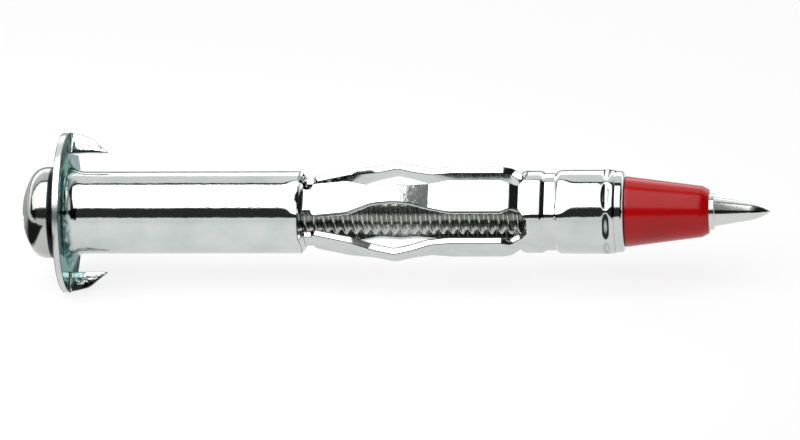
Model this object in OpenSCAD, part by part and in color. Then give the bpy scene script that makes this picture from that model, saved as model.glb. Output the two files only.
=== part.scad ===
// Hollow wall anchor of the drive-in kind, with its machine screw.
// A sleeve formed from one sheet has a flange with two teeth, a barrel, four
// bulged legs and a collar. The collar holds a nut and a nose cap, and the
// screw runs through all of them to its driving point.
//
// Frame: the axis runs along +X, from the screw's head to its point. The
// origin is on the axis in the flange's wall face. +Z is up when the anchor
// lies on the flat side of its flange, the notch that the lower tooth left.
// Every module is drawn along +Z, and lay_down() turns it to +X.

/* [Sheet] */
// Thickness of the sheet that the sleeve is formed from
sheet_t = 0.75; // [0.6:0.05:0.9]
// Radius inside the small bends of the collar and the necks
crimp_r = 0.15; // [0.1:0.05:0.2]

/* [Barrel and flange] */
// Outside diameter of the barrel
barrel_d = 9.0; // [8.6:0.1:10]
// Length of the barrel, from the flange's wall face to the legs
barrel_len = 25.4; // [12:0.2:50]
// Diameter of the flange
flange_d = 17.4; // [16.4:0.2:20]
// Radius of the bend between barrel and flange, on the wall side
flange_bend_r = 1.1; // [0.6:0.1:1.4]

/* [Teeth] */
// Length of the teeth, from the flange's wall face
tooth_len = 4.0; // [3:0.05:4.2]
// Distance from the axis to the straight inner edge of a tooth
tooth_inner_r = 6.5; // [6.3:0.05:6.9]
// Slant of a tooth's end, which makes its point
tooth_tip_angle = 50; // [40:1:60]
// Distance from the plane through the axis to the outside of a tooth's fold
tooth_fold_at = 1.0; // [0.95:0.05:1.2]
// Radius inside a tooth's fold
tooth_bend_r = 0.2; // [0.1:0.05:0.2]

/* [Legs] */
// Number of legs
leg_count = 4; // [4:1:4]
// Length of the legs, from the barrel to the collar
leg_len = 24.8; // [22:0.2:34]
// Width of a leg where it is widest
leg_w = 3.76; // [3.3:0.02:3.9]
// Width of a leg at its waist, where it folds when the anchor is set
leg_waist_w = 2.06; // [1.6:0.02:2.6]
// Distance from the barrel to the crest of the legs' bulge
leg_crest_at = 10.4; // [9.4:0.1:11.4]
// Height of the bulge's crest above the barrel's surface
leg_bulge_h = 0.92; // [0.5:0.02:1.4]
// Width of a leg's neck at the barrel
root_neck_w = 2.5; // [2:0.1:2.8]
// Depth of the neck at the barrel, under the barrel's surface
root_neck_depth = 1.05; // [0.8:0.05:1.1]
// Width of a leg's neck at the collar
end_neck_w = 2.84; // [2.4:0.02:3]
// Depth of the neck at the collar, under the barrel's surface
end_neck_depth = 0.6; // [0.4:0.05:0.7]

/* [Collar] */
// How far the collar stands out from the barrel's surface, over the nut
collar_swell = 0.07; // [0.04:0.01:0.15]
// Distance from the legs to the rolled groove
groove_at = 1.4; // [1:0.1:3]
// Width of the rolled groove, at its mouth
groove_w = 2.15; // [1.8:0.05:2.6]
// Depth of the rolled groove
groove_depth = 0.27; // [0.24:0.01:0.3]
// Number of stakes round the collar
stake_count = 8; // [6:1:8]
// Radius of the punch that made the stakes
stake_punch_r = 0.45; // [0.35:0.05:0.5]
// Depth of the stakes
stake_depth = 0.3; // [0.2:0.02:0.32]
// Distance from the stakes' centres to the sleeve's end
stake_to_end = 1.9; // [1.8:0.1:2.4]
// How far the ring past the stakes is drawn in from the collar
ring_drop = 0.14; // [0.08:0.02:0.2]
// Radius of the ring's rounded outer edge, at the sleeve's end
lip_r = 0.45; // [0.3:0.05:0.5]
// How far the sleeve's end is pressed in, inside the ring
lip_in = 0.2; // [0.1:0.02:0.24]

/* [Screw] */
// Outside diameter of the screw's thread
screw_d = 4.82; // [4.4:0.02:5]
// Diameter of the screw's head
head_d = 10.0; // [9.6:0.1:11]
// Height of the head's straight side
head_side_h = 1.6; // [1:0.1:2]
// Height of the head's dome, above its side
head_dome_h = 2.8; // [2.4:0.1:3]
// Radius of the dome's shoulder
head_shoulder_r = 2.0; // [1.6:0.1:2.1]
// Height of the head's bevelled underside
head_under_h = 1.1; // [0.6:0.1:1.3]
// Width of that bevel
head_under_w = 0.65; // [0.4:0.05:0.8]
// Width of the cross recess, across its wings
recess_d = 5.2; // [4.6:0.1:5.6]
// Depth of the cross recess, from the top of the dome
recess_depth = 2.6; // [2:0.1:3]
// Width of a wing of the cross recess
recess_wing_w = 1.1; // [0.9:0.05:1.3]
// Distance from one turn of the thread to the next
thread_pitch = 1.058; // [0.8:0.002:1.27]
// Depth of the thread
thread_depth = 0.5; // [0.4:0.02:0.55]
// Length of the thread past the sleeve's end
thread_past_sleeve = 6; // [4:0.5:7]

/* [Point] */
// Diameter of the ring behind the driving point
point_ring_d = 3.96; // [3.4:0.02:4.1]
// Length of that ring
point_ring_len = 0.55; // [0.3:0.05:0.8]
// Diameter of the point where it leaves the ring
point_d = 3.2; // [2.8:0.02:3.3]
// Length of the point's slow taper
point_taper_len = 4.3; // [3:0.1:6]
// Diameter of the point at the end of its slow taper
point_neck_d = 1.76; // [1.4:0.02:2]
// Length of the point's blunt tip
point_tip_len = 1.75; // [1.2:0.05:2.4]

/* [Nose cap] */
// Distance by which the cap's base is wider than the sleeve's bore, all round
cap_ledge = 0.03; // [0.02:0.01:0.2]
// Diameter of the cap at its front edge
cap_front_d = 5.54; // [5.4:0.02:6]
// Length of the cap, outside the sleeve
cap_len = 9.1; // [9:0.1:12]
// Length of the bevel at the cap's front edge
cap_bevel_len = 0.75; // [0.5:0.05:1]
// Height of that bevel
cap_bevel_h = 0.4; // [0.3:0.05:0.5]

/* [Fits] */
// Radial gap between the screw and what it turns in
screw_gap = 0.05; // [0.04:0.01:0.08]
// Gap between the screw's head and the flange
head_gap = 0.05; // [0.04:0.01:0.1]
// Gap all round the nut, and round the cap's spigot
seat_gap = 0.02; // [0.02:0.01:0.05]

/* [Hidden] */

$fn = 96;
bend_steps = 4;
overlap = 0.3;

barrel_r = barrel_d / 2;
barrel_mid_r = barrel_r - sheet_t / 2;
flange_r = flange_d / 2;
bend_mid_r = flange_bend_r + sheet_t / 2;
crimp_mid_r = crimp_r + sheet_t / 2;
// The legs' ends stay this far inside both surfaces of the walls that they join.
seam = 0.03;

// Where the sleeve's stretches start and end, from the flange's wall face.
collar_z = barrel_len + leg_len;
groove_start_z = collar_z + groove_at;
groove_end_z = groove_start_z + groove_w;
groove_ramp = 0.42;
collar_r = barrel_r + collar_swell;
collar_mid_r = collar_r - sheet_t / 2;
collar_bore_r = collar_r - sheet_t;
nut_z = groove_end_z + 0.2;
nut_len = 4.05;
// A stake's bump on the inside has the punch's radius and the sheet's thickness.
stake_axis_r = collar_r - stake_depth + stake_punch_r;
stake_bump_r = stake_punch_r + sheet_t;
stake_bump_half = sqrt(pow(stake_bump_r, 2) - pow(stake_axis_r - collar_bore_r, 2));
stake_z = nut_z + nut_len + seat_gap + stake_bump_half;
sleeve_end_z = stake_z + stake_to_end;
lip_len = 0.55;
ring_start_z = stake_z + 0.6;
ring_ramp = 0.25;
ring_mid_r = collar_mid_r - ring_drop;

// Bends of a leg's sheet, from the barrel to the collar. A margin is the stretch
// at either end that still runs along the wall.
root_margin = 0.1;
root_neck_fall_len = 0.6;
root_neck_end = 1.5;
root_neck_rise = 0.12;
root_neck_rise_len = 0.4;
crest_bend_r = 1.2;
bulge_fall_len = 3.9;
end_neck_len = 1.85;
end_neck_fall_len = 0.85;
end_neck_rise_len = 0.5;
end_margin = 0.05;
end_neck_start = leg_len - end_neck_len;
end_neck_rise_start = leg_len - end_margin - end_neck_rise_len;

// Outline of a leg: the slots between the legs are wide at the necks and at the
// waist, and narrow at the shoulders between them.
slot_corner_r = 0.2;
root_notch_start = 0.5;
root_notch_end = 1.35;
root_shoulder_len = 0.35;
waist_before_crest = 2.2;
waist_after_crest = 1.8;
waist_bend_r = 4;
root_taper_len = 2.8;
end_taper_len = 4.2;
end_shoulder_len = 1.1;
end_notch_len = 0.75;
end_flare_w = 0.5;
end_flare_len = 0.55;

// The teeth stand half a turn apart. Each leaves a notch on the same side, and
// the lower notch, centred between its two corners, is the side that lies down.
notch_corner_y = sqrt(pow(flange_r, 2) - pow(tooth_inner_r, 2));
notch_from_angle = asin(tooth_fold_at / flange_r);
notch_to_angle = atan2(notch_corner_y, tooth_inner_r);
lower_tooth_angle = -(notch_from_angle + notch_to_angle) / 2;
first_leg_angle = 45;

screw_r = screw_d / 2;
head_r = head_d / 2;
head_base_z = -sheet_t - head_gap;
head_edge_z = head_base_z - head_side_h;
head_top_z = head_edge_z - head_dome_h;
// The dome's crown is the arc that meets both the top and the shoulder's arc.
crown_r = (pow(head_r - head_shoulder_r, 2) + pow(head_dome_h, 2) - pow(head_shoulder_r, 2))
    / (2 * (head_dome_h - head_shoulder_r));
crown_angle = asin((head_r - head_shoulder_r) / (crown_r - head_shoulder_r));
thread_end_z = sleeve_end_z + thread_past_sleeve;
cap_end_z = sleeve_end_z + cap_len;
point_z = cap_end_z + point_ring_len;
// The thread runs out over this length, down to the ring behind the point.
run_out_len = 1;
// Share of the tip's length at which the point has half its neck's width.
tip_half_at = 0.65;

// Direction of travel from one point to the next, in degrees.
function heading(a, b) = atan2(b[1] - a[1], b[0] - a[0]);

// The stations of a rounded corner at b: each is a point and its direction.
function corner(a, b, c, r) =
    let (from = heading(a, b), turn = heading(b, c) - from, side = sign(turn))
    let (start = b - r * tan(abs(turn) / 2) * [cos(from), sin(from)])
    let (centre = start + side * r * [-sin(from), cos(from)])
    [for (i = [0 : bend_steps])
        let (h = from + turn * i / bend_steps)
        [centre + side * r * [sin(h), -cos(h)], h]];

// The stations of a whole path. Each of its points is [x, y, corner radius].
function stations(path) =
    let (last = len(path) - 1)
    concat(
        [[[path[0][0], path[0][1]], heading(path[0], path[1])]],
        [for (i = [1 : last - 1])
            each corner([path[i - 1][0], path[i - 1][1]], [path[i][0], path[i][1]],
                [path[i + 1][0], path[i + 1][1]], path[i][2])],
        [[[path[last][0], path[last][1]], heading(path[last - 1], path[last])]]);

// The path moved sideways by a distance, to its left.
function shifted(path, by) =
    [for (s = stations(path)) s[0] + by * [-sin(s[1]), cos(s[1])]];

function reversed(list) = [for (i = [len(list) - 1 : -1 : 0]) list[i]];

// Section of a sheet whose middle follows the path.
module bent_sheet(path) {
    left = shifted(path, sheet_t / 2);
    right = shifted(path, -sheet_t / 2);
    polygon(concat(left, reversed(right)));
}

// Turns what is drawn along +Z to lie along +X, with +X turned to -Z.
module lay_down() {
    rotate([0, 90, 0])
        children();
}

// Stands a section up: its x stays the radius and its y becomes the height.
module upright(width) {
    rotate([90, 0, 0])
        linear_extrude(width, center = true)
            children();
}

// Flange and barrel, one bent sheet turned round the axis.
module barrel() {
    rotate_extrude()
        bent_sheet([
            [flange_r, -sheet_t / 2],
            [barrel_mid_r, -sheet_t / 2, bend_mid_r],
            [barrel_mid_r, barrel_len]
        ]);
}

// The part of the flange that a tooth was folded from.
module tooth_notch() {
    fold_start = tooth_fold_at - sheet_t - tooth_bend_r;
    translate([tooth_inner_r, fold_start, -sheet_t - overlap])
        cube([flange_r, flange_r, sheet_t + 2 * overlap]);
}

// A corner of the flange, folded square to it. Its outer edge is the flange's
// own rim, and its inner edge is the straight cut that freed it.
module tooth() {
    fold_mid = tooth_fold_at - sheet_t / 2;
    intersection() {
        rotate([90, 0, 90])
            linear_extrude(flange_r)
                bent_sheet([
                    [fold_mid - 2 * sheet_t, -sheet_t / 2],
                    [fold_mid, -sheet_t / 2, tooth_bend_r + sheet_t / 2],
                    [fold_mid, tooth_len]
                ]);
        upright(flange_d)
            translate([0, -tooth_fold_at])
                intersection() {
                    circle(flange_r);
                    translate([tooth_inner_r, tooth_fold_at])
                        polygon([
                            [0, -tooth_fold_at],
                            [(tooth_len + tooth_fold_at) / tan(tooth_tip_angle), -tooth_fold_at],
                            [0, tooth_len]
                        ]);
                }
    }
}

// Middle of a leg's sheet, from inside the barrel's wall to the collar's.
function leg_path() =
    let (wall_r = barrel_mid_r + seam, crest_r = barrel_mid_r + leg_bulge_h)
    let (root_r = barrel_mid_r - root_neck_depth, end_r = barrel_mid_r - end_neck_depth)
    [
        [wall_r, -overlap],
        [wall_r, root_margin, crimp_mid_r],
        [root_r, root_margin + root_neck_fall_len, crimp_mid_r],
        [root_r, root_neck_end, crimp_mid_r],
        [root_r + root_neck_rise, root_neck_end + root_neck_rise_len, crimp_mid_r],
        [crest_r, leg_crest_at, crest_bend_r],
        [barrel_mid_r, leg_crest_at + bulge_fall_len, crest_bend_r],
        [barrel_mid_r, end_neck_start, crimp_mid_r],
        [end_r, end_neck_start + end_neck_fall_len, crimp_mid_r],
        [end_r, end_neck_rise_start, crimp_mid_r],
        [wall_r, leg_len - end_margin, crimp_mid_r],
        [wall_r, leg_len + overlap]
    ];

// Edge of a leg, as half its width against the distance from the barrel's end.
function leg_edge() =
    let (half_w = leg_w / 2, half_waist = leg_waist_w / 2)
    let (root_half = root_neck_w / 2, end_half = end_neck_w / 2, flare = half_w + end_flare_w)
    let (waist_start = leg_crest_at - waist_before_crest)
    let (waist_end = leg_crest_at + waist_after_crest)
    let (end_notch_start = leg_len - end_notch_len - end_shoulder_len)
    [
        [half_w, -overlap],
        [half_w, slot_corner_r, slot_corner_r],
        [root_half, root_notch_start, slot_corner_r],
        [root_half, root_notch_end, slot_corner_r],
        [half_w, root_notch_end + root_shoulder_len, slot_corner_r],
        [half_w, waist_start - root_taper_len, waist_bend_r / 2],
        [half_waist, waist_start, waist_bend_r],
        [half_waist, waist_end, waist_bend_r],
        [half_w, waist_end + end_taper_len, waist_bend_r],
        [half_w, end_notch_start - end_shoulder_len / 2, end_shoulder_len / 2],
        [end_half, end_notch_start + end_shoulder_len / 2, end_shoulder_len / 2],
        [end_half, leg_len - end_notch_len, slot_corner_r],
        [flare, leg_len - end_notch_len + end_flare_len, slot_corner_r],
        [flare, leg_len + overlap]
    ];

// A leg is the bent strip, cut to its outline. Where it meets the round walls
// its corners stay inside the barrel's surface.
module leg() {
    edge = shifted(leg_edge(), 0);
    intersection() {
        upright(barrel_d)
            bent_sheet(leg_path());
        rotate([90, 0, 90])
            linear_extrude(barrel_d)
                polygon(concat(edge, reversed([for (p = edge) [-p[0], p[1]]])));
        union() {
            translate([0, 0, -overlap])
                cylinder(r = barrel_r - seam, h = overlap + root_neck_end);
            translate([0, 0, root_neck_end])
                cylinder(r = barrel_d, h = end_neck_rise_start - root_neck_end);
            translate([0, 0, end_neck_rise_start])
                cylinder(r = barrel_r - seam, h = leg_len + overlap - end_neck_rise_start);
        }
    }
}

// Section of the sleeve's last stretch: its outer edge is rounded and its inner
// edge is pressed in.
module lip_section() {
    outer_r = ring_mid_r + sheet_t / 2;
    inner_r = ring_mid_r - sheet_t / 2;
    polygon(concat(
        [[inner_r, sleeve_end_z - lip_len], [outer_r, sleeve_end_z - lip_len]],
        [for (i = [0 : bend_steps])
            let (a = 90 * i / bend_steps)
            [outer_r - lip_r + lip_r * cos(a), sleeve_end_z - lip_r + lip_r * sin(a)]],
        [[inner_r - lip_in, sleeve_end_z]]));
}

// Collar, with its rolled groove and the ring at its end.
module collar() {
    groove_mid_r = barrel_mid_r - groove_depth;
    rotate_extrude() {
        bent_sheet([
            [barrel_mid_r, collar_z],
            [barrel_mid_r, groove_start_z, crimp_mid_r],
            [groove_mid_r, groove_start_z + groove_ramp, crimp_mid_r],
            [groove_mid_r, groove_end_z - groove_ramp, crimp_mid_r],
            [collar_mid_r, groove_end_z, crimp_mid_r],
            [collar_mid_r, ring_start_z, crimp_mid_r],
            [ring_mid_r, ring_start_z + ring_ramp, crimp_mid_r],
            [ring_mid_r, sleeve_end_z - lip_len]
        ]);
        lip_section();
    }
}

// A round bar that lies across the collar at a stake.
module stake_bar(r) {
    translate([stake_axis_r, 0, stake_z])
        rotate([90, 0, 0])
            cylinder(r = r, h = barrel_d, center = true);
}

// The bumps that the stakes leave inside the collar, which keep the nut in.
module stake_bumps() {
    for (i = [0 : stake_count - 1])
        rotate(i * 360 / stake_count)
            intersection() {
                stake_bar(stake_bump_r);
                translate([0, 0, stake_z - stake_bump_r])
                    cylinder(r = collar_bore_r + sheet_t / 3, h = 2 * stake_bump_r);
            }
}

module expansion_sleeve() {
    color([0.78, 0.80, 0.80])
        lay_down()
            difference() {
                union() {
                    difference() {
                        barrel();
                        rotate(lower_tooth_angle)
                            tooth_notch();
                        rotate(lower_tooth_angle + 180)
                            mirror([0, 1, 0])
                                tooth_notch();
                    }
                    rotate(lower_tooth_angle)
                        tooth();
                    rotate(lower_tooth_angle + 180)
                        mirror([0, 1, 0])
                            tooth();
                    for (i = [0 : leg_count - 1])
                        rotate(first_leg_angle + i * 360 / leg_count)
                            translate([0, 0, barrel_len])
                                leg();
                    collar();
                    stake_bumps();
                }
                for (i = [0 : stake_count - 1])
                    rotate(i * 360 / stake_count)
                        stake_bar(stake_punch_r);
            }
}

// Outline of the head's dome, from its top to its straight side.
function dome_outline() =
    concat(
        [for (i = [0 : 8])
            let (a = crown_angle * i / 8)
            [crown_r * sin(a), head_top_z + crown_r * (1 - cos(a))]],
        [for (i = [1 : 6])
            let (a = crown_angle + (90 - crown_angle) * i / 6)
            [head_r - head_shoulder_r + head_shoulder_r * sin(a),
                head_edge_z - head_shoulder_r * cos(a)]]);

// Outline of the thread where it shows between the legs, with each turn drawn
// as a ring. It stays plain inside the barrel, the nut and the cap.
function thread_ridges() =
    let (from = barrel_len - thread_pitch)
    let (rings = ceil((leg_len + 2 * thread_pitch) / thread_pitch))
    let (crest = thread_pitch / 8, flank = (thread_pitch - crest) / 2)
    [for (i = [0 : rings - 1])
        let (start = from + i * thread_pitch)
        each [
            [screw_r, start],
            [screw_r - thread_depth, start + flank],
            [screw_r, start + 2 * flank]
        ]];

// Two wedge-shaped slots, square to each other.
module cross_recess() {
    for (a = [0, 90])
        rotate(a)
            upright(recess_wing_w)
                polygon([
                    [-recess_d / 2, head_top_z - overlap],
                    [recess_d / 2, head_top_z - overlap],
                    [recess_d / 6, head_top_z + recess_depth],
                    [-recess_d / 6, head_top_z + recess_depth]
                ]);
}

module drive_screw() {
    color([0.72, 0.74, 0.74])
        lay_down()
            difference() {
                rotate_extrude()
                    polygon(concat(
                        dome_outline(),
                        [
                            [head_r, head_base_z - head_under_h],
                            [head_r - head_under_w, head_base_z],
                            [screw_r, head_base_z]
                        ],
                        thread_ridges(),
                        [
                            [screw_r, thread_end_z],
                            [point_ring_d / 2, thread_end_z + run_out_len],
                            [point_ring_d / 2, point_z],
                            [point_d / 2, point_z],
                            [point_neck_d / 2, point_z + point_taper_len],
                            [point_neck_d / 4, point_z + point_taper_len + point_tip_len * tip_half_at],
                            [0, point_z + point_taper_len + point_tip_len]
                        ]));
                cross_recess();
            }
}

// The nut fills the collar, from the rolled groove to the stakes' bumps.
module threaded_nut() {
    nut_r = collar_bore_r - seat_gap;
    bevel = 0.3;
    color([0.60, 0.62, 0.62])
        lay_down()
            rotate_extrude()
                polygon([
                    [screw_r + screw_gap, nut_z],
                    [nut_r - bevel, nut_z],
                    [nut_r, nut_z + bevel],
                    [nut_r, nut_z + nut_len - bevel],
                    [nut_r - bevel, nut_z + nut_len],
                    [screw_r + screw_gap, nut_z + nut_len]
                ]);
}

// The cap seats on the sleeve's lip, with a spigot inside it.
module nose_cap() {
    spigot_r = ring_mid_r - sheet_t / 2 - lip_in - seat_gap;
    spigot_z = stake_z + stake_bump_half + seat_gap;
    color([0.80, 0.06, 0.10])
        lay_down()
            rotate_extrude()
                polygon([
                    [screw_r + screw_gap, spigot_z],
                    [spigot_r, spigot_z],
                    [spigot_r, sleeve_end_z + seat_gap],
                    [collar_bore_r + cap_ledge, sleeve_end_z + seat_gap],
                    [cap_front_d / 2, cap_end_z - cap_bevel_len],
                    [cap_front_d / 2 - cap_bevel_h, cap_end_z],
                    [point_ring_d / 2 + screw_gap, cap_end_z],
                    [point_ring_d / 2 + screw_gap, thread_end_z + run_out_len],
                    [screw_r + screw_gap, thread_end_z + screw_gap]
                ]);
}

expansion_sleeve();
drive_screw();
threaded_nut();
nose_cap();
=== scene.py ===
import math

import bmesh
import bpy
import numpy as np
from mathutils import Matrix, Vector

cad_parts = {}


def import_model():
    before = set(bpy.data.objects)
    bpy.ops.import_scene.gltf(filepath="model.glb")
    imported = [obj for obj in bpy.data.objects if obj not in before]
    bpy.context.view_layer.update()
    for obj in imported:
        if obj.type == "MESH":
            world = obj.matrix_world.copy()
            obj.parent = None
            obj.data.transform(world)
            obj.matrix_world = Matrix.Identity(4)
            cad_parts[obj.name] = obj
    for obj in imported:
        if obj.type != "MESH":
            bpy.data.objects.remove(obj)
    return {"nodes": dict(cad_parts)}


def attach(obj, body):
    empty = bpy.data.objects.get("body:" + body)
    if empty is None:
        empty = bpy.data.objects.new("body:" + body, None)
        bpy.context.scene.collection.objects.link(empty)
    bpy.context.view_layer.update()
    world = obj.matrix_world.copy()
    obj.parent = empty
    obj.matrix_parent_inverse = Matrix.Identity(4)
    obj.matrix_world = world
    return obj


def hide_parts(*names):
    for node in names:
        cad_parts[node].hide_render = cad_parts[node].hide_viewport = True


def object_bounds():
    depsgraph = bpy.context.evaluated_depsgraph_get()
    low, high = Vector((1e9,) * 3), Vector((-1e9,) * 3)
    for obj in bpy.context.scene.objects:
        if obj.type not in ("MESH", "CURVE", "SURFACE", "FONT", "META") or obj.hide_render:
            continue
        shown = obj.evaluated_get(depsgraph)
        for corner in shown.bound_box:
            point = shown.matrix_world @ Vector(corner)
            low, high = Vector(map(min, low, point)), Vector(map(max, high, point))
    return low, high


MM = 0.001

# Lengths are in millimetres. X runs along the anchor's axis from the flange's wall face towards
# the point. An angle round the axis is 0 towards -Y and 90 degrees upwards. A radius of the
# sleeve is that of the middle of its sheet. In a table of corners each row has a corner's place,
# its height and the radius that rounds it.
SHEET = 0.75
BARREL_END, LEG_LEN, COLLAR_START, SLEEVE_END = 25.4, 24.8, 50.2, 60.71
WALL_R, COLLAR_R, RING_R = 4.125, 4.195, 4.055

# Flange. Its two teeth stand at opposite sides, turned about the axis from straight up and down.
FLANGE_R, BEND_R = 8.7, 2.1
TOOTH_INNER_R, TOOTH_LEN, TOOTH_TURN = 6.5, 4.0, 24.13
TOOTH_FOLD_AT, TOOTH_FOLD_R, TOOTH_STRETCH = 0.625, 0.575, 0.247
TOOTH_TIP_ANGLE, TOOTH_TIP_SHIFT = 50, 0.08
LOWER_TOOTH_LEAN, UPPER_TOOTH_LEAN, TOOTH_LEAN_AT = 5.0, 8.2, 0.9

# Legs. Places are past the barrel's end. The middle's heights are radii, and the edge's are half
# widths.
LEG_ANGLES = (-135.0, -45.0, 45.0, 135.0)
LEG_ROOT_HALF, LEG_END_HALF = 2.0, 2.38
LEG_COLUMNS, SLOT_COLUMNS, COLLAR_SLOT_COLUMNS = 30, 18, 12
LEG_MIDDLE = (
    (-0.3, WALL_R - 0.5, 0), (-0.05, WALL_R - 0.5, 0.1), (0.3, WALL_R - 1.05, 0.4),
    (1.5, WALL_R - 1.05, 0.42), (1.9, WALL_R - 0.93, 0.5), (10.4, WALL_R + 0.92, 1.2),
    (14.3, WALL_R, 1.2), (22.95, WALL_R, 0.6), (23.8, WALL_R - 0.6, 0.5),
    (24.25, WALL_R - 0.6, 0.5), (24.75, WALL_R, 0.05), (LEG_LEN, WALL_R, 0))
LEG_EDGE = (
    (-0.3, 1.88, 0), (0.12, 1.88, 0.1), (0.5, 1.25, 0.2), (1.35, 1.25, 0.2), (1.7, 1.88, 0.2),
    (5.4, 1.88, 2.0), (8.2, 1.03, 4.0), (12.2, 1.03, 4.0), (16.4, 1.88, 4.0), (22.05, 1.88, 0.55),
    (23.15, 1.42, 0.55), (24.05, 1.42, 0.2), (24.6, LEG_END_HALF - 0.04, 0.1),
    (LEG_LEN, LEG_END_HALF, 0))

# The walls are pressed flat at the legs: a share of the round, within an angle of a leg's middle.
BARREL_DISH, BARREL_DISH_START = (0.95, 27.0), 23.6
COLLAR_DISH, COLLAR_DISH_FADE, LEG_ROUND_LEN = (0.7, 28.0), (53.2, 55.4), 0.6
DISH_SOFT = 0.03

# Collar. A stake is the print of a round bar that lies along the collar's surface.
COLLAR_CORNERS = (
    (COLLAR_START, WALL_R, 0), (51.6, WALL_R, 0.525), (52.02, WALL_R - 0.27, 0.525),
    (53.33, WALL_R - 0.27, 0.525), (53.75, COLLAR_R, 0.525), (59.41, COLLAR_R, 0.3),
    (59.66, RING_R, 0.3), (SLEEVE_END, RING_R, 0))
STAKE_X, STAKE_AXIS_R, STAKE_MID_R, STAKES_APART, STAKE_SOFT = 58.81, 4.62, 0.725, 45, 0.012
LIP_R, LIP_LEN, LIP_IN = 0.45, 0.55, 0.2

# Screw. The head's crown is part of a sphere. The recess's lengths and widths are those at its
# floor and at the top of its walls. The rows of its mouth's rounded edge lie out from the mouth
# and down from the crown. A stretch of the shank has its start, its end and its rows to a turn of
# the thread.
HEAD_TOP, CROWN_SPHERE_R, CROWN_R = -5.2, 8.0, 4.0
SHOULDER_X, SHOULDER_MIDDLE_R, SHOULDER_R = -2.4, 3.0, 2.0
RECESS_FLOOR, RECESS_DIMPLE = -2.6, 0.12
RECESS_LENS, RECESS_WIDTHS, RECESS_MOUTH = (0.87, 2.56), (0.40, 0.53), (2.6, 0.55)
MOUTH_EDGE = ((0.0, 0.09), (0.01, 0.045), (0.045, 0.012), (0.08, 0.0))
THREAD_R, THREAD_PITCH, THREAD_DEPTH, THREAD_FLAT = 2.41, 1.058, 0.5, 0.12
THREAD_FADE_IN, THREAD_FADE_OUT = (0.6, 1.8), (65.6, 66.7)
SHANK = ((0.45, 24.3, 7), (24.3, 51.0, 16), (51.0, 66.7, 7))
HEAD_BASE = (
    (SHOULDER_X, 5.0, 0), (-1.9, 5.0, 0.8), (-0.8, 4.35, 0.2), (-0.8, THREAD_R, 0.1),
    (0.3, THREAD_R, 0))
POINT = (
    (66.71, THREAD_R, 0), (67.71, 1.98, 0.1), (70.36, 1.98, 0.12), (70.36, 1.6, 0.06),
    (74.66, 0.88, 5.0), (75.8, 0.44, 4.0), (76.41, 0.0, 0))

# Cap, once round its wall's section.
CAP = (
    (65.0, 2.46, 0), (59.65, 2.46, 0.05), (59.65, 3.46, 0.05), (60.73, 3.46, 0.02),
    (60.73, 3.85, 0.08), (69.06, 2.77, 0.16), (69.81, 2.37, 0.12), (69.81, 2.03, 0.05),
    (67.71, 2.03, 0.1), (66.76, 2.46, 0.1), (65.0, 2.46, 0))

# Colours of the finishes, from the duller to the brighter where a finish varies.
ZINC = ((0.51, 0.55, 0.54), (0.61, 0.64, 0.625))
# The sheared edges are duller, and their colour is painted near black: a painted dark outline in
# place of the dark they would reflect.
PAINTED_OUTLINE_ZINC = ((0.07, 0.075, 0.08), (0.12, 0.13, 0.14))
SCREW_ZINC = ((0.38, 0.40, 0.37), (0.48, 0.50, 0.47))
CAP_RED = ((0.33, 0.001, 0.002), (0.41, 0.002, 0.003))
FILM_TINT = (0.42, 0.56, 0.55, 1.0)
# The first colour here is painted shade on the stakes' walls, and it also marks the teeth's scuffs.
STAKE_SHADE_AND_SCUFFS, POINT_ZINC = (0.02, 0.025, 0.025, 1), (0.62, 0.64, 0.61, 1)
# Painted shade, darkening the head's bevelled underside and the walls of its recess.
HEAD_UNDERSIDE_SHADE, RECESS_SHADE = (0.025, 0.025, 0.03, 1), (0.09, 0.095, 0.09, 1)

# The room's light: by the angle round the X axis in degrees, by the way's share of X (0 is
# towards the head, 1 towards the point), and how much the second counts at each angle.
ROOM_BANDS = (
    (-180, 0.50), (6, 0.50), (8, 0.018), (33, 0.018), (37, 0.95), (98, 0.95), (103, 0.012),
    (111, 0.012), (113, 0.50), (142, 0.50), (148, 1.0), (168, 1.0), (171, 0.06), (180, 0.06))
ROOM_ALONG = (
    (0.0, 0.02), (0.10, 0.02), (0.20, 1.0), (0.638, 1.0), (0.652, 0.15), (0.70, 0.13),
    (0.75, 0.01), (0.93, 0.01), (0.96, 0.6))
ROOM_FRONT = ((-180, 0.0), (-90, 0.0), (-60, 1.0), (112, 1.0), (130, 0.0))
ROOM_STRENGTH = 2.0


def rounded_path(corners, steps=6):
    """A line through corners with the inner ones rounded. Each arc of its radius touches both
    stretches: it starts before the corner by the radius times the tangent of half the turn, and
    turns evenly round its centre."""
    corners = np.asarray(corners, float)
    points, radii = corners[:, :2], corners[1:-1, 2]
    way = np.arctan2(*np.diff(points, axis=0).T[::-1])
    turn = (np.diff(way) + np.pi) % (2 * np.pi) - np.pi
    side = np.where(turn < 0, -1.0, 1.0)
    ahead = np.stack([np.cos(way[:-1]), np.sin(way[:-1])], 1)
    across = np.stack([-np.sin(way[:-1]), np.cos(way[:-1])], 1)
    start = points[1:-1] - (radii * np.tan(np.abs(turn) / 2))[:, None] * ahead
    centre = start + (side * radii)[:, None] * across
    heading = way[:-1, None] + turn[:, None] * np.linspace(0, 1, steps + 1)
    arc = np.stack([np.sin(heading), -np.cos(heading)], -1) * (side * radii)[:, None, None]
    arcs = (centre[:, None, :] + arc).reshape(-1, 2)
    return np.concatenate([points[:1], arcs, points[-1:]])


def thinned(stops, least, end):
    """The stops that lie more than the least distance past the one before. The last of them
    moves to the end."""
    stops = stops[np.concatenate([[True], np.diff(stops) > least])]
    stops[-1] = end
    return stops


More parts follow.
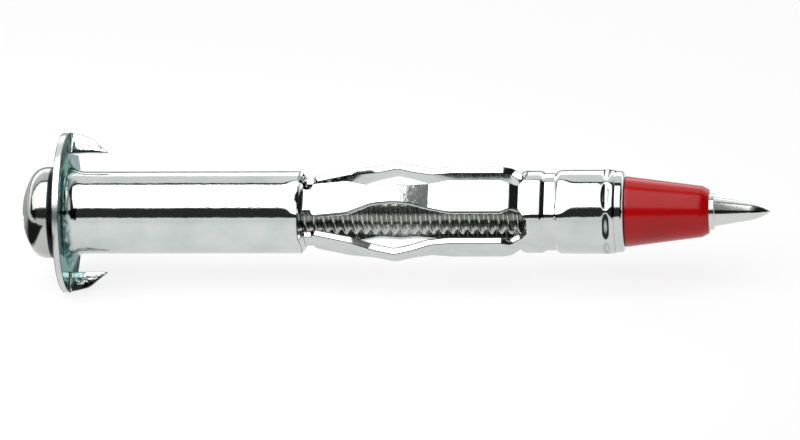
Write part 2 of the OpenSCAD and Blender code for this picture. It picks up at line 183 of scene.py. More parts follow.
def spaced(path, longest):
    """The same line with more points on it: its own, and others at even distances along it."""
    along = np.concatenate([[0.0], np.cumsum(np.hypot(*np.diff(path, axis=0).T))])
    stops = thinned(np.union1d(along, np.arange(0.0, along[-1], longest)), 0.02, along[-1])
    return np.stack([np.interp(stops, along, path[:, k]) for k in (0, 1)], 1)


def ease(value, low, high):
    """Goes smoothly from 0 at the low mark to 1 at the high mark, as three squares less two
    cubes."""
    t = np.clip((value - low) / (high - low), 0.0, 1.0)
    return t * t * (3 - 2 * t)


def turned(x, radius, angles):
    """Points round the axis: each has its X, and its radius times minus the cosine and the sine
    of its angle."""
    x, radius, angles = np.broadcast_arrays(x, radius, np.radians(angles))
    return np.stack([x, -radius * np.cos(angles), radius * np.sin(angles)], -1)


def set_out(x, out, aside, angle):
    """Points by their X, their distance out in the direction of one angle round the axis, and
    their distance square to that direction."""
    turn = math.radians(angle)
    x, out, aside = np.broadcast_arrays(x, out, aside)
    y = -out * math.cos(turn) + aside * math.sin(turn)
    z = out * math.sin(turn) + aside * math.cos(turn)
    return np.stack([x, y, z], -1)


def grid_faces(rows, columns, closed):
    """Faces of a grid of points: each joins a point with its neighbours in the next row and the
    next column."""
    row = np.arange(rows - 1)[:, None]
    column = np.arange(columns if closed else columns - 1)[None, :]
    after = (column + 1) % columns
    corners = (row * columns + column, (row + 1) * columns + column,
               (row + 1) * columns + after, row * columns + after)
    return np.stack(np.broadcast_arrays(*corners), -1).reshape(-1, 4)


def surface(name, grids, merge=0.002):
    """A mesh object of several grids, each (points, closed round the axis), joined where their
    points meet."""
    points, faces, count = [], [], 0
    for grid, closed in grids:
        rows, columns = grid.shape[:2]
        points.append(grid.reshape(-1, 3) * MM)
        faces.append(grid_faces(rows, columns, closed) + count)
        count += rows * columns
    mesh = bpy.data.meshes.new(name)
    mesh.from_pydata(np.concatenate(points).tolist(), [], np.concatenate(faces).tolist())
    shape = bmesh.new()
    shape.from_mesh(mesh)
    bmesh.ops.remove_doubles(shape, verts=shape.verts[:], dist=merge * MM)
    bmesh.ops.dissolve_degenerate(shape, edges=shape.edges[:], dist=1e-7)
    shape.to_mesh(mesh)
    shape.free()
    piece = bpy.data.objects.new(name, mesh)
    bpy.context.scene.collection.objects.link(piece)
    return piece


def bake(piece):
    """Takes what the modifiers make as the piece's own mesh."""
    graph = bpy.context.evaluated_depsgraph_get()
    made = bpy.data.meshes.new_from_object(piece.evaluated_get(graph))
    piece.modifiers.clear()
    piece.data = made


def settled(piece, sharp=38.0):
    """The piece with its modifiers baked, shaded smooth except over sharp edges."""
    bake(piece)
    piece.data.shade_smooth()
    piece.data.set_sharp_from_angle(angle=math.radians(sharp))
    return piece


def round_edges(piece, width, finish, angle=50.0):
    """Rounds the edges that turn by more than the angle, gives the rounded strips the finish in
    that material slot, and lets the big faces keep their own shading."""
    bevel = piece.modifiers.new("edges", "BEVEL")
    bevel.width, bevel.segments, bevel.limit_method = width * MM, 2, "ANGLE"
    bevel.angle_limit, bevel.use_clamp_overlap = math.radians(angle), False
    bevel.miter_outer, bevel.material = "MITER_ARC", finish
    settled(piece)
    weigh = piece.modifiers.new("shading", "WEIGHTED_NORMAL")
    weigh.keep_sharp, weigh.weight = True, 80
    bake(piece)


def read(items, name, width, kind=float):
    """One property of all vertices or faces of a mesh, as rows of that many numbers."""
    values = np.empty(len(items) * width, kind)
    items.foreach_get(name, values)
    return values.reshape(-1, width)


def leg_share(angles, leg):
    """How far a column lies across a leg, from -1 to 1: the sine of its angle from the leg's
    middle times the wall's radius, over the half width at the root."""
    return np.sin(np.radians(angles - leg)) * WALL_R / LEG_ROOT_HALF


def angle_at(across):
    """The angle from a leg's middle at which the wall lies so far across the leg: the arcsine of
    the distance over the wall's radius."""
    return np.degrees(np.arcsin(across / WALL_R))


def barrel_angles():
    """Angles of the barrel's columns. A leg's columns are even across the leg, and a slot's are
    even in angle. The nearest ones move to the teeth's cuts."""
    half = angle_at(LEG_ROOT_HALF)
    across = angle_at(np.linspace(-1, 1, LEG_COLUMNS + 1)[:-1] * LEG_ROOT_HALF)
    slot = np.linspace(half, 90 - half, SLOT_COLUMNS + 1)[:-1]
    angles = np.concatenate([leg + np.concatenate([across, slot]) for leg in LEG_ANGLES])
    for cut in notch_marks():
        away = np.abs((angles - cut + 180) % 360 - 180)
        angles[away.argmin()] += (cut - angles[away.argmin()] + 180) % 360 - 180
    return angles


def notch_marks():
    """Angles at which the flange's two notches start, at a tooth's fold, and end, where the
    straight cut meets the rim."""
    span = math.degrees(math.acos(TOOTH_INNER_R / FLANGE_R))
    lower, upper = TOOTH_TURN - 90.0, TOOTH_TURN + 90.0
    return lower, lower - span, upper, upper + span


def cut_radius(angles):
    """Radius of the ring that the notches cut to, and which columns lie in a notch. In a notch
    the radius is the straight cut's distance over the cosine of the angle from the fold.
    Elsewhere it is that distance, save that it meets the rim where a notch ends."""
    lower, lower_end, upper, _ = notch_marks()
    span = abs(lower_end - lower)
    radius = np.full(angles.shape, TOOTH_INNER_R)
    notched = np.zeros(angles.shape, bool)
    for past in ((lower - angles + 180) % 360 - 180, (angles - upper + 180) % 360 - 180):
        inside = (past > -1e-6) & (past < span + 1e-6)
        cut = TOOTH_INNER_R / np.cos(np.radians(np.clip(past, 0, span)))
        radius = np.where(inside, cut, radius)
        notched |= (past > -1e-6) & (past < span - 1e-6)
    return radius, notched


def flange_grids(angles):
    """The flange in two rings: from the straight cuts' radius in to the bend, and from there out
    to the rim where no notch is. Columns are radial. A stretch of rim also takes the column at a
    fold, and the one where a straight cut meets the rim."""
    cut, notched = cut_radius(angles)
    count, near = len(angles), 0.01
    share = np.linspace(0, 1, 4)[:, None]
    grids = [(turned(-SHEET / 2, cut + (WALL_R + BEND_R - cut) * share, angles), True)]
    order = (np.arange(count) + np.flatnonzero(notched)[0]) % count
    for run in np.split(order, np.flatnonzero(np.diff(notched[order].astype(int))) + 1):
        if notched[run[0]]:
            continue
        before, after = (run[0] - 1) % count, (run[-1] + 1) % count
        if cut[before] < TOOTH_INNER_R + near:
            run = np.insert(run, 0, before)
        if not TOOTH_INNER_R + near < cut[after] < FLANGE_R - near:
            run = np.append(run, after)
        rim = np.stack([np.full(len(run), FLANGE_R), cut[run]])
        grids.append((turned(-SHEET / 2, rim, angles[run]), False))
    return grids


def tooth_grid(mark, hand, lean):
    """A tooth in the frame of its fold. Its length runs along the flange, round a quarter bend
    and along X. Its outer edge is the rim's circle laid out flat, the root of the rim's radius
    squared less the length squared, until a slanted line cuts it to a point. Past the fold the
    blade leans: it is twisted about a line near its middle."""
    fold = rounded_path([(0.0, -SHEET / 2, 0), (TOOTH_FOLD_AT, -SHEET / 2, TOOTH_FOLD_R),
                         (TOOTH_FOLD_AT, TOOTH_LEN, 0)], 8)
    fold = spaced(fold, 0.25)
    length = np.concatenate([[0.0], np.cumsum(np.hypot(*np.diff(fold, axis=0).T))])
    flat = length + TOOTH_STRETCH * ease(length, 0.0, 0.9)
    slope = math.tan(math.radians(TOOTH_TIP_ANGLE))
    slanted = TOOTH_INNER_R + (TOOTH_LEN - fold[:, 1]) / slope + TOOTH_TIP_SHIFT
    outer = np.minimum(np.sqrt(FLANGE_R ** 2 - flat ** 2), slanted)
    share = np.linspace(0, 1, 4)[:, None]
    out = TOOTH_INNER_R + (outer - TOOTH_INNER_R) * (share if hand > 0 else 1 - share)
    twist = math.radians(lean) * ease(length, 0.1, 1.1)
    arm = out - TOOTH_INNER_R - TOOTH_LEAN_AT
    aside = hand * -fold[:, 0] + arm * np.sin(twist)
    return set_out(fold[:, 1], out - arm * (1 - np.cos(twist)), aside, mark), False


def leg_dish(offset, deep, reach):
    """How far the round wall is pressed flat at a leg, for an angle from the leg's middle: a
    share of what the round stands over the chord at the reach, with a soft edge."""
    over = WALL_R * (np.cos(np.radians(offset)) - math.cos(math.radians(reach)))
    return deep * DISH_SOFT * np.logaddexp(0.0, over / DISH_SOFT)


def toward_leg(points, angles, depth):
    """Moves each point in by a depth along the direction of the leg nearest to its column."""
    leg = np.radians(np.round((angles - 45) / 90) * 90 + 45)
    moved = points.copy()
    moved[..., 1] += depth * np.cos(leg)
    moved[..., 2] -= depth * np.sin(leg)
    return moved


def barrel_grid(angles):
    """The bend and the barrel: a quarter circle from the flange to the wall, then straight to
    the legs. Near them the wall is pressed flat, more and more by a square law."""
    bend = rounded_path([(-SHEET / 2, WALL_R + BEND_R, 0), (-SHEET / 2, WALL_R, BEND_R),
                         (BARREL_END, WALL_R, 0)], 12)[1:-1]
    stops = np.concatenate([np.arange(2.3, 23.4, 1.2),
                            np.linspace(BARREL_DISH_START, BARREL_END, 10)])
    wall = np.stack([stops, np.full(len(stops), WALL_R)], 1)
    path = np.concatenate([spaced(bend, 1.2), wall])
    x, radius = path[:, :1], path[:, 1:]
    share = np.clip((x - BARREL_DISH_START) / (BARREL_END - BARREL_DISH_START), 0, 1)
    depth = leg_dish(angles % 90 - 45, *BARREL_DISH) * share ** 2
    return toward_leg(turned(x, radius, angles), angles, depth), True


def leg_grid(angles, leg):
    """A leg is flat across. Its middle follows a path with bends along X, and a column's place
    across is its share of the half width there. It starts inside the barrel's end. Towards the
    collar it takes the collar's round: the root of the wall's radius squared less the place
    squared, less the radius, is added."""
    middle, edge = rounded_path(LEG_MIDDLE, 10), rounded_path(LEG_EDGE, 8)
    stops = np.union1d(middle[::2, 0], edge[::2, 0])
    stops = np.union1d(stops, np.arange(-0.3, LEG_LEN, 0.35))
    stops = thinned(stops, 0.045, LEG_LEN)[:, None]
    share = leg_share(angles, leg)
    across = np.interp(stops, *edge.T) * share
    rounded = ease(stops, LEG_LEN - LEG_ROUND_LEN, LEG_LEN)
    out = np.interp(stops, *middle.T) + rounded * (np.sqrt(WALL_R ** 2 - across ** 2) - WALL_R)
    out = out - leg_dish(angle_at(share * LEG_END_HALF), *COLLAR_DISH) * rounded
    return set_out(BARREL_END + stops, out, across, leg), False


def collar_grid(angles):
    """The collar: its path has the rolled groove and the ring at the end. A stake presses it in
    to the bar's surface: the bar's distance less the root of its radius squared less the offset
    squared, over the cosine of the angle from the stake. The lesser of the two radii is taken,
    with its edge smoothed."""
    path = spaced(rounded_path(COLLAR_CORNERS), 0.4)
    staked = np.arange(STAKE_X - 0.75, STAKE_X + 0.76, 0.06)
    lip = SLEEVE_END - LIP_R * (1 - np.sin(np.linspace(0, np.pi / 2, 7)))
    stops = np.union1d(path[:, 0], np.concatenate([staked, lip]))
    stops = thinned(stops, 0.02, SLEEVE_END)[:, None]
    radius = np.interp(stops, *path.T)
    offset = np.clip(np.abs(stops - STAKE_X), 0, STAKE_MID_R - 0.01)
    beside = np.radians((angles + STAKES_APART / 2) % STAKES_APART - STAKES_APART / 2)
    pressed = (STAKE_AXIS_R - np.sqrt(STAKE_MID_R ** 2 - offset ** 2)) / np.cos(beside)
    radius = radius - STAKE_SOFT * np.logaddexp(0.0, (radius - pressed) / STAKE_SOFT)
    depth = leg_dish(angles % 90 - 45, *COLLAR_DISH) * (1 - ease(stops, *COLLAR_DISH_FADE))
    return toward_leg(turned(stops, radius, angles), angles, depth), True


def press_lip(piece):
    """At the sleeve's end the outer edge is a quarter circle, and the inner edge is pushed in by
    a square law."""
    mesh = piece.data
    points = read(mesh.vertices, "co", 3)
    x, radius = points[:, 0] / MM, np.hypot(points[:, 1], points[:, 2]) / MM
    past = np.clip(x - (SLEEVE_END - LIP_R), 0.0, LIP_R)
    limit = RING_R + SHEET / 2 - LIP_R + np.sqrt(LIP_R ** 2 - past ** 2)
    inner = (x > SLEEVE_END - LIP_LEN - 0.01) & (radius < RING_R)
    pushed = radius - LIP_IN * np.clip((x - SLEEVE_END + LIP_LEN) / LIP_LEN, 0, 1) ** 2
    outer = np.where(x > SLEEVE_END - LIP_R - 0.01, np.minimum(radius, limit), radius)
    points[:, 1:] *= (np.where(inner, pushed, outer) / radius)[:, None]
    mesh.vertices.foreach_set("co", points.ravel())
    mesh.update()


def film_faces(piece, slot):
    """The flange's wall face and the outer side of its bend take the material in a slot: they
    face along X and lie between the rim and the barrel."""
    mesh = piece.data
    middle = read(mesh.polygons, "center", 3) / MM
    facing = read(mesh.polygons, "normal", 3)[:, 0]
    chosen = read(mesh.polygons, "material_index", 1, np.int32)[:, 0]
    x, radius = middle[:, 0], np.hypot(middle[:, 1], middle[:, 2])
    on_bend = (x > -0.05) & (x < BEND_R) & (radius > 4.6) & (radius < WALL_R + BEND_R)
    on_face = np.abs(x) < 0.05
    filmed = (on_bend & (facing > 0.15)) | (on_face & (facing > 0.95))
    mesh.polygons.foreach_set("material_index", np.where(filmed, slot, chosen))
    mesh.update()


def build_sleeve(finishes):
    """One sheet: flange with its teeth, barrel, four legs and collar, given its thickness to
    both sides. Its finishes are those of its faces, of its sheared edges, whose colour is painted
    near black as a dark outline in place of their reflection, and of the flange's wall face."""
    angles = barrel_angles()
    lower, _, upper, _ = notch_marks()
    grids = flange_grids(angles) + [
        barrel_grid(angles),
        tooth_grid(lower, 1.0, LOWER_TOOTH_LEAN),
        tooth_grid(upper, -1.0, UPPER_TOOTH_LEAN)]
    half = angle_at(LEG_END_HALF)
    slot = np.linspace(half, 90 - half, COLLAR_SLOT_COLUMNS + 2)[1:-1]
    around = []
    for first, leg in zip(range(0, len(angles), LEG_COLUMNS + SLOT_COLUMNS), LEG_ANGLES):
        columns = angles[first:first + LEG_COLUMNS + 1]
        grids.append(leg_grid(columns, leg))
        around += [leg + angle_at(leg_share(columns, leg) * LEG_END_HALF), leg + slot]
    grids.append(collar_grid(np.concatenate(around)))
    sleeve = surface("formed_sleeve", grids)
    for finish in finishes:
        sleeve.data.materials.append(finish)
    sheet = sleeve.modifiers.new("sheet", "SOLIDIFY")
    sheet.thickness, sheet.offset = SHEET * MM, 0.0
    sheet.use_even_offset, sheet.use_quality_normals = True, True
    settled(sleeve)
    press_lip(sleeve)
    film_faces(sleeve, 2)
    # Slot 1, on the rounded edge strips, is painted near black as a dark outline.
    round_edges(sleeve, 0.08, finish=1)
    return sleeve


def screw_columns():
    """Angles of the screw's columns, closer together at the recess's corners."""
    quarter = np.array([0, 3, 6, 9, 11.0, 11.94, 12.9, 15, 18, 22, 26, 30, 34, 38, 42, 44.2])
    half = np.concatenate([quarter, [45.0], 90 - quarter[:0:-1]])
    return np.concatenate([half + 90 * k for k in range(4)])


def cross_outline(angles, length, width):
    """Radius of a cross: in each wing it is the lesser of the end's distance over the cosine and
    the side's distance over the sine, and of the two wings' values it is the greater."""
    c, s = np.abs(np.cos(np.radians(angles))) + 1e-9, np.abs(np.sin(np.radians(angles))) + 1e-9
    return np.maximum(np.minimum(length / c, width / s), np.minimum(length / s, width / c))


def crown_x(radius):
    """Place of the head's crown: its top plus the sphere's radius, less the root of the sphere's
    radius squared less the radius squared."""
    return HEAD_TOP + CROWN_SPHERE_R - np.sqrt(CROWN_SPHERE_R ** 2 - radius ** 2)


def thread_radius(x, angles):
    """The thread's crest winds right-handed. Over each turn the radius goes down a 60 degree
    flank to a rounded root and up again, with a flat at either end of the flank. It fades in
    under the head and out behind the cap."""
    phase = (x / THREAD_PITCH + angles / 360.0) % 1.0
    rise = np.clip((0.5 - np.abs(phase - 0.5)) / 0.5, 0, 1)
    flank = np.clip((rise - THREAD_FLAT) / (1 - 2 * THREAD_FLAT), 0, 1)
    profile = 0.75 * flank + 0.25 * flank * flank * (3 - 2 * flank)
    depth = THREAD_DEPTH * ease(x, *THREAD_FADE_IN) * (1 - ease(x, *THREAD_FADE_OUT))
    return THREAD_R - depth * (1 - profile)


def build_screw():
    """One surface from the bottom of the recess up its walls, over the crown, down the head's
    side and along the shank, the thread and the point to the tip. Every row goes once round the
    axis, and each line of the table below has the places and the radii of some rows."""
    angles = screw_columns()
    mouth = cross_outline(angles, *RECESS_MOUTH)
    share = np.linspace(0, 1, 8)[:, None]
    length, width = (low + (high - low) * share for low, high in (RECESS_LENS, RECESS_WIDTHS))
    out, down = np.array(MOUTH_EDGE).T[..., None]
    edge, inner = mouth + out[1:3], mouth + out[3]
    crown = inner + (CROWN_R - inner) * np.linspace(0.03, 1, 10)[:, None]
    shoulder = np.radians(np.linspace(30, 90, 10)[1:])[:, None]
    base, point = rounded_path(HEAD_BASE)[1:], rounded_path(POINT)
    shank = np.concatenate([np.arange(start, end, THREAD_PITCH / count)
                            for start, end, count in SHANK])[:, None]
    rows = (
        ([[RECESS_FLOOR + RECESS_DIMPLE]], 0.0),
        (RECESS_FLOOR + (crown_x(mouth) + down[0] - RECESS_FLOOR) * share,
         cross_outline(angles, length, width)),
        (crown_x(edge) + down[1:3], edge),
        (crown_x(crown), crown),
        (SHOULDER_X - SHOULDER_R * np.cos(shoulder),
         SHOULDER_MIDDLE_R + SHOULDER_R * np.sin(shoulder)),
        (base[:, :1], base[:, 1:]),
        (shank, thread_radius(shank, angles)),
        (point[:, :1], point[:, 1:]))
    points = np.concatenate([turned(x, radius, angles) for x, radius in rows])
    return settled(surface("machine_screw", [(points, True)], merge=0.001), 50.0)


def build_cap():
    """The cap is a closed outline turned round the axis, with its moulded edges rounded."""
    outline = spaced(rounded_path(CAP), 0.6)
    points = turned(outline[:, :1], outline[:, 1:], np.arange(0, 360, 2.5))
    return settled(surface("moulded_cap", [(points, True)], merge=0.001), 50.0)


class Nodes:
    """Adds shader nodes to a material or a world by kind, joins them and sets their sockets."""

    def __init__(self, owner):
        owner.use_nodes = True
        self.tree = owner.node_tree
        self.tree.nodes.clear()

    def add(self, kind, inputs=None, **settings):
        """A node with its settings, and with values or sockets for its inputs by name or
        number."""
        node = self.tree.nodes.new(kind)
        for name, value in settings.items():
            setattr(node, name, value)
        for name, value in (inputs or {}).items():
            if isinstance(value, bpy.types.NodeSocket):
                self.tree.links.new(value, node.inputs[name])
            else:
                node.inputs[name].default_value = value
        return node

    def math(self, operation, *values):
        return self.add("ShaderNodeMath", dict(enumerate(values)), operation=operation).outputs[0]

    def times(self, one, other):
        return self.math("MULTIPLY", one, other)

    def plus(self, base, value, share):
        """The base with a share of the value on top."""
        return self.math("MULTIPLY_ADD", value, share, base)

    def noise(self, place, scale, detail=2.0, rough=0.5, warp=0.0):
        return self.add("ShaderNodeTexNoise", {
            "Vector": place, "Scale": scale, "Detail": detail, "Roughness": rough,
            "Distortion": warp}).outputs["Fac"]

    def axes(self, vector):
        """The X, Y and Z of a vector."""
        return self.add("ShaderNodeSeparateXYZ", {0: vector}).outputs

    def ramp(self, value, stops):
        """A colour or a level by the value, from stops that each have a place and one of them."""
        node = self.add("ShaderNodeValToRGB", {0: value})
        marks = node.color_ramp.elements
        while len(marks) < len(stops):
            marks.new(0.5)
        for mark, (place, level) in zip(marks, stops):
            mark.position = place
            mark.color = (*(level if isinstance(level, tuple) else [level] * 3), 1.0)
        return node.outputs[0]

    def between(self, value, low, full, fall, end):
        """Goes from 0 at the low mark to 1 at the full mark, and back to 0 from the fall mark to
        the end, in mm."""
        up = {0: value, 1: low * MM, 2: full * MM, 3: 0.0, 4: 1.0}
        down = {0: value, 1: fall * MM, 2: end * MM, 3: 1.0, 4: 0.0}
        return self.times(*(self.add("ShaderNodeMapRange", way).outputs[0] for way in (up, down)))

    def mix(self, share, one, other, blend="MIX"):
        """The first colour, with a share of the other one."""
        return self.add("ShaderNodeMix", {0: share, 6: one, 7: other}, data_type="RGBA",
                        blend_type=blend).outputs[2]

    def bump(self, height, strength, distance):
        return self.add("ShaderNodeBump", {
            "Height": height, "Strength": strength, "Distance": distance * MM}).outputs[0]

    def blended(self, share, one, other):
        """The first shader, with a share of the other one."""
        return self.add("ShaderNodeMixShader", {0: share, 1: one.outputs[0], 2: other.outputs[0]})

    def finish(self, shader, kind="ShaderNodeOutputMaterial"):
        self.add(kind, {"Surface": shader.outputs[0]})


def zinc_plate(name, colours, rough, by_place=None, tint=None):
    """Bright zinc plate: mirror-like, with a faint blue and yellow cast in patches, a slight
    ripple from the rolled sheet under it, and fine scratches along it. A last step may change
    colour, roughness and ripple by place."""
    material = bpy.data.materials.new(name)
    n = Nodes(material)
    place = n.add("ShaderNodeTexCoord").outputs["Object"]
    patches = n.noise(place, 260.0, detail=4.0, rough=0.6)
    colour = n.ramp(patches, list(zip((0.3, 0.7), colours)))
    stretched = n.add("ShaderNodeMapping", {"Vector": place, "Scale": (0.15, 1.0, 1.0)})
    scratches = n.noise(stretched.outputs[0], 9000.0, detail=3.0, rough=0.7)
    ripple = n.noise(place, 900.0, detail=3.0, rough=0.55)
    roughness = n.plus(rough, patches, 0.06)
    if by_place:
        x, y, z = n.axes(place)
        radius = n.math("SQRT", n.math("ADD", n.times(y, y), n.times(z, z)))
        colour, roughness, ripple = by_place(n, place, (x, y, z, radius), colour, roughness, ripple)
    grain = n.plus(n.times(ripple, 0.9), scratches, 0.10)
    shader = n.add("ShaderNodeBsdfPrincipled", {
        "Metallic": 1.0, "Base Color": colour, "Roughness": roughness,
        "Normal": n.bump(grain, strength=0.35, distance=0.04)})
    if tint:
        shader.inputs["Specular Tint"].default_value = tint
    n.finish(shader)
    return material


def outer_part(n, z, low, full):
    """The share of the flange's two ends that carry the teeth: the height above or below the
    axis past a mark."""
    return n.between(n.math("ABSOLUTE", z), low, full, 20.0, 21.0)


def worn_and_shaded_sleeve(n, place, where, colour, roughness, ripple):
    """The flange's sheared rim is duller than the faces, and its back is satin. The walls of the
    punched stakes are painted dark as shade, most in the one at the side. The bent teeth are
    marked by the tool: more ripple, and a few dark scuffs."""
    x, y, z, radius = where
    on_rim = n.times(n.between(x, -0.9, -0.8, -0.05, 0.05),
                     n.between(radius, 8.55, 8.66, 9.0, 9.1))
    on_back = n.times(n.between(x, -1.0, -0.9, -0.73, -0.70),
                      n.between(radius, 4.6, 5.2, 9.0, 9.1))
    # Painted shade: the stakes' walls are darkened, most in the stake at the side. The same dark
    # marks the teeth's real scuffs.
    in_stake = n.times(n.between(x, 58.40, 58.46, 59.16, 59.22),
                       n.between(radius, 4.24, 4.36, 4.50, 4.545))
    at_side = n.math("MAXIMUM", n.between(y, -5.0, -4.9, -4.2, -3.9), 0.25)
    on_tooth = n.times(outer_part(n, z, 5.6, 6.0), n.between(x, 0.2, 0.5, 8.0, 9.0))
    scuffs = n.ramp(n.noise(place, 750.0, detail=4.0, rough=0.6, warp=0.5),
                    [(0.60, 0.0), (0.66, 1.0)])
    dark = n.math("MAXIMUM", n.times(in_stake, at_side), n.times(on_tooth, scuffs))
    roughness = n.plus(n.plus(roughness, on_back, 0.30), on_rim, 0.22)
    return n.mix(dark, colour, STAKE_SHADE_AND_SCUFFS), roughness, n.times(ripple, n.plus(1.0, on_tooth, 3.0))


def film_runs(n, place, where, colour, roughness, ripple):
    """The clear film on the flange's wall face is thick enough to show colour. It ran across the
    face as it dried, in runs of teal, green, violet and grey, and is dark and dull by the teeth.
    It lies in patches in the bend, and ends where the barrel starts."""
    _, y, z, radius = where
    across = n.plus(n.plus(0.42, n.noise(place, 500.0), 0.16), y, 1 / 0.0176)
    runs = n.ramp(across, [
        (0.02, (0.28, 0.36, 0.40)), (0.16, (0.24, 0.35, 0.37)), (0.24, (0.22, 0.39, 0.31)),
        (0.52, (0.24, 0.40, 0.33)), (0.60, (0.42, 0.38, 0.47)), (0.80, (0.38, 0.36, 0.45)),
        (0.88, (0.36, 0.40, 0.48))])
    patches = n.ramp(n.noise(place, 800.0, detail=3.0, rough=0.5, warp=0.8), [
        (0.36, (0.05, 0.07, 0.08)), (0.47, (0.13, 0.19, 0.19)), (0.56, (0.28, 0.38, 0.35)),
        (0.68, (0.44, 0.50, 0.48))])
    blotches = n.ramp(n.noise(place, 700.0, detail=3.0, rough=0.6), [
        (0.36, (0.04, 0.05, 0.05)), (0.66, (0.17, 0.22, 0.21))])
    ends = outer_part(n, z, 6.0, 6.9)
    film = n.mix(n.between(radius, 5.7, 6.2, 20.0, 21.0), patches, runs)
    film = n.mix(ends, film, blotches)
    roughness = n.plus(n.math("ADD", roughness, 0.03), ends, 0.45)
    return n.mix(n.between(radius, 0.0, 0.1, 4.75, 5.1), film, colour), roughness, ripple


def screw_finish_and_shade(n, place, where, colour, roughness, ripple):
    """The bevelled underside of the head and the walls down in the recess are painted dark as
    shade, and are dull. The thread is a little duller than the head, and the point is brighter."""
    x, _, _, radius = where
    # Painted shade on the head's bevelled underside and in its recess.
    under = n.times(n.between(x, -2.0, -1.88, -0.6, -0.5), n.between(radius, 4.2, 4.3, 6.0, 6.1))
    recess = n.times(n.between(x, -4.85, -4.60, -2.4, -2.3),
                     n.between(radius, -2.0, -1.0, 2.64, 2.72))
    thread = n.between(x, 1.0, 1.5, 66.6, 66.7)
    point = n.between(x, 66.8, 67.8, 90.0, 91.0)
    colour = n.mix(under, n.mix(point, colour, POINT_ZINC), HEAD_UNDERSIDE_SHADE)
    colour = n.mix(recess, colour, RECESS_SHADE)
    roughness = n.plus(n.plus(roughness, point, 0.03), thread, 0.12)
    return colour, n.plus(roughness, n.math("MAXIMUM", under, recess), 0.15), ripple


def red_plastic():
    """Red moulded plastic with a satin skin: a slight change of shade and a fine pebbled
    surface."""
    material = bpy.data.materials.new("red_plastic")
    n = Nodes(material)
    place = n.add("ShaderNodeTexCoord").outputs["Object"]
    shade = n.noise(place, 300.0, detail=3.0, rough=0.6)
    skin = n.noise(place, 5200.0, detail=3.0, rough=0.6)
    n.finish(n.add("ShaderNodeBsdfPrincipled", {
        "Base Color": n.ramp(shade, list(zip((0.3, 0.7), CAP_RED))),
        "Roughness": n.plus(0.13, skin, 0.10), "Specular IOR Level": 0.32,
        "Normal": n.bump(skin, strength=0.25, distance=0.02)}))
    return material


def dress(piece, material):
    """Gives a piece one finish all over."""
    piece.data.materials.clear()
    piece.data.materials.append(material)


def placed(thing, *columns):
    """Links an object to the scene and sets its X, Y and Z directions and its place."""
    bpy.context.scene.collection.objects.link(thing)
    thing.matrix_world = Matrix([*zip(*columns), (0.0, 0.0, 0.0, 1.0)])
    return thing


def add_camera():
    """The camera looks at the middle of the anchor from the side, a little above it and a little
    towards the point. It leans so that the anchor's axis lies level in the view."""
    azimuth, elevation, lean = math.radians(6.4), math.radians(22.0), math.radians(-2.5)
    aim, distance = Vector((0.036, 0.0, 0.0)), 0.690
    back = Vector((math.sin(azimuth) * math.cos(elevation),
                   -math.cos(azimuth) * math.cos(elevation), math.sin(elevation)))
    level = Vector((math.cos(azimuth), math.sin(azimuth), 0.0))
    right = level * math.cos(lean) + back.cross(level) * math.sin(lean)
    data = bpy.data.cameras.new("studio_camera")
    data.sensor_width, data.lens = 36.0, 285.9
    data.shift_x, data.shift_y = 0.002, -0.010
    camera = bpy.data.objects.new("studio_camera", data)
    placed(camera, right, back.cross(right), back, aim + distance * back)
    bpy.context.scene.camera = camera


def by_turn(bands):
    """A ramp's stops for levels at angles: 0 is half a turn down, 1 is half a turn up."""
    return [((degrees + 180.0) / 360.0, level) for degrees, level in bands]


def add_studio():
    """A pale room. Its light depends on the angle round the X axis, from level at the camera's
    side up over the top and down behind: a dark front above level, a bright ceiling that ends in
    a dark bar, and a bright strip behind over a thin dark horizon. At the front and the ceiling
    it also depends on how far the way leans along X. To the camera the room is plain white."""
    world = bpy.data.worlds.new("studio")
    bpy.context.scene.world = world
    n = Nodes(world)
    x, y, z = n.axes(n.add("ShaderNodeTexCoord").outputs["Generated"])
    angle = n.math("ARCTAN2", z, n.times(y, -1.0))
    turn = n.plus(0.5, angle, 1 / (2 * math.pi))
    band = n.ramp(turn, by_turn(ROOM_BANDS))
    along = n.ramp(n.plus(0.5, x, 0.5), ROOM_ALONG)
    front = n.ramp(turn, by_turn(ROOM_FRONT))
    light = n.mix(front, band, n.mix(1.0, band, along, "MULTIPLY"))
    room = n.add("ShaderNodeBackground", {"Color": light, "Strength": ROOM_STRENGTH})
    white = n.add("ShaderNodeBackground", {"Color": (1, 1, 1, 1)})
    seen = n.add("ShaderNodeLightPath").outputs["Is Camera Ray"]
    n.finish(n.blended(seen, room, white), "ShaderNodeOutputWorld")
    add_softbox("long_softbox", elevation=69.5, distance=55.0, along=(-48.0, 204.0), width=74.0,
                glow=1.95)


def add_softbox(name, elevation, distance, along, width, glow):
    """A flat lamp that faces the axis: its middle lies at a distance in the direction of the
    elevation and at a place along X, its length runs along X, and its power is its glow times
    its area times pi."""
    turn = math.radians(elevation)
    level, out = Vector((1.0, 0.0, 0.0)), Vector((0.0, -math.cos(turn), math.sin(turn)))
    middle, length = along
    data = bpy.data.lights.new(name, "AREA")
    data.shape, data.size, data.size_y = "RECTANGLE", length * MM, width * MM
    data.energy = glow * length * width * MM * MM * math.pi
    lamp = bpy.data.objects.new(name, data)
    placed(lamp, level, out.cross(level), out, out * distance * MM + level * middle * MM)
    lamp.visible_camera = False


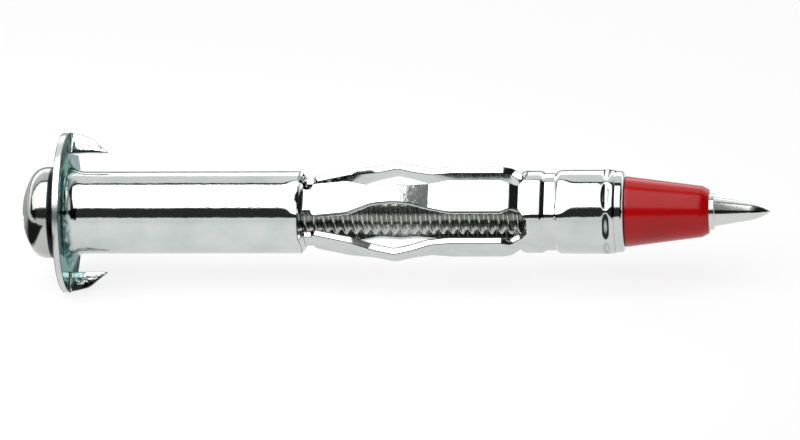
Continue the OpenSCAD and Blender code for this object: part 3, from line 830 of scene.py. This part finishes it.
def add_floor(level):
    """A pale table that carries the anchor. To the camera and to metal it shows mostly white,
    with the shadow. Metal also shows a card that lies past the anchor's head, dark near the
    anchor and grey farther behind it."""
    mesh = bpy.data.meshes.new("table")
    mesh.from_pydata([(-3, -3, level), (3, -3, level), (3, 3, level), (-3, 3, level)], [],
                     [(0, 1, 2, 3)])
    floor = bpy.data.objects.new("table", mesh)
    bpy.context.scene.collection.objects.link(floor)
    material = bpy.data.materials.new("pale_table")
    n = Nodes(material)
    x, y, _ = n.axes(n.add("ShaderNodeTexCoord").outputs["Object"])
    past_head = n.between(n.times(x, -1.0), 8.5, 10.5, 46.0, 58.0)
    dark_part = n.between(y, -60.0, -50.0, 6.0, 14.0)
    whole_card = n.between(y, -60.0, -50.0, 400.0, 410.0)
    path = n.add("ShaderNodeLightPath").outputs
    mirrored = n.math("MAXIMUM", path["Is Glossy Ray"], path["Is Transmission Ray"])
    seen = n.math("MAXIMUM", path["Is Camera Ray"], mirrored)
    lit = n.add("ShaderNodeBsdfDiffuse", {"Color": (0.80, 0.80, 0.80, 1)})
    white = n.add("ShaderNodeEmission", {"Color": (1, 1, 1, 1)})
    card = n.add("ShaderNodeEmission", {
        "Color": n.mix(dark_part, (0.55, 0.55, 0.55, 1), (0.02, 0.02, 0.02, 1))})
    plain = n.blended(n.times(seen, 0.80), lit, white)
    n.finish(n.blended(n.times(n.times(mirrored, past_head), whole_card), plain, card))
    dress(floor, material)


def main():
    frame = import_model()
    cad_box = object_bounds()
    add_camera()
    add_studio()
    add_floor(cad_box[0][2])
    bpy.context.scene.view_settings.view_transform = "Standard"

    zinc = zinc_plate("bright_zinc", ZINC, 0.02, worn_and_shaded_sleeve)
    # The sheared edges' near-black colour is a painted dark outline, not their own colour.
    painted_outline_zinc = zinc_plate("painted_outline_edge_zinc", PAINTED_OUTLINE_ZINC, 0.14)
    film_zinc = zinc_plate("filmed_zinc", ZINC, 0.02, film_runs, FILM_TINT)
    screw_zinc = zinc_plate("screw_zinc", SCREW_ZINC, 0.07, screw_finish_and_shade)
    sleeve, screw, cap = build_sleeve((zinc, painted_outline_zinc, film_zinc)), build_screw(), build_cap()
    dress(screw, screw_zinc)
    dress(cap, red_plastic())
    for piece, node, body, slot in (
            (sleeve, "expansion_sleeve", "sleeve", "sleeve_zinc"),
            (screw, "drive_screw", "screw", "screw_zinc"),
            (cap, "nose_cap", "sleeve", "cap_plastic")):
        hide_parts(node)
        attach(piece, body)
    nut = frame["nodes"]["threaded_nut"]
    for nut_slot in nut.material_slots:
        nut_slot.material = screw_zinc


main()
